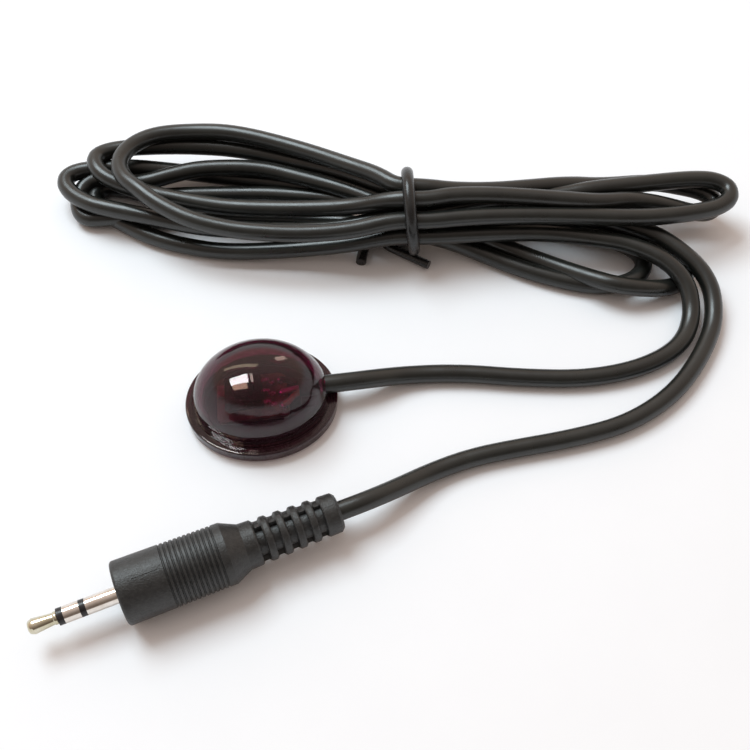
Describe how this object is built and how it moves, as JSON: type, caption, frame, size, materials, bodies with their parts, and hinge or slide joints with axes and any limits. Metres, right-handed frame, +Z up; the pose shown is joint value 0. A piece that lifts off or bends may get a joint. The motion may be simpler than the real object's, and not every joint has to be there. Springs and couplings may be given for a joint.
{
  "type": "infrared receiver cable",
  "caption": "Stick-on infrared receiver with a dark translucent oval dome, a long black cord wound into a tied hank, and a small moulded plug that carries its signal.",
  "frame": {"origin": "centre of the receiver head's underside, on the surface that it sticks to", "axes": "+X along the head's long axis towards its cord, +Z up through the dome"},
  "size_m": [0.1202, 0.0927, 0.0153],
  "materials": {
    "dome": "gloss, translucent",
    "base": "satin",
    "pad": "matte foam",
    "board": "satin",
    "receiver": "gloss",
    "tinned": "tinned",
    "chip": "satin",
    "core_red": "satin",
    "core_white": "satin",
    "core_black": "satin",
    "cord": "satin",
    "tie": "gloss",
    "plug_body": "fine grain",
    "inner_mould": "satin",
    "contact": "polished nickel",
    "insulator": "satin"
  },
  "bodies": {
    "root": {"head_cover": "dome", "base_plate": "base", "adhesive_pad": "pad", "circuit_board": "board", "receiver_module": "receiver", "receiver_lead_1": "tinned", "receiver_lead_2": "tinned", "receiver_lead_3": "tinned", "filter_capacitor": "chip", "filter_resistor": "chip", "solder_joint_1": "tinned", "solder_joint_2": "tinned", "solder_joint_3": "tinned", "head_core_1": "core_red", "head_core_2": "core_white", "head_core_3": "core_black", "cord_to_head": "cord", "cord_hank": "cord", "cord_to_plug": "cord", "hank_tie": "tie", "tip_contact": "contact", "tip_insulator": "insulator", "ring_contact": "contact", "ring_insulator": "insulator", "sleeve_contact": "contact", "inner_mould": "inner_mould", "plug_overmould": "plug_body", "plug_core_1": "core_red", "plug_core_2": "core_white", "plug_core_3": "core_black", "plug_cord_end": "cord"}
  },
  "joints": []
}
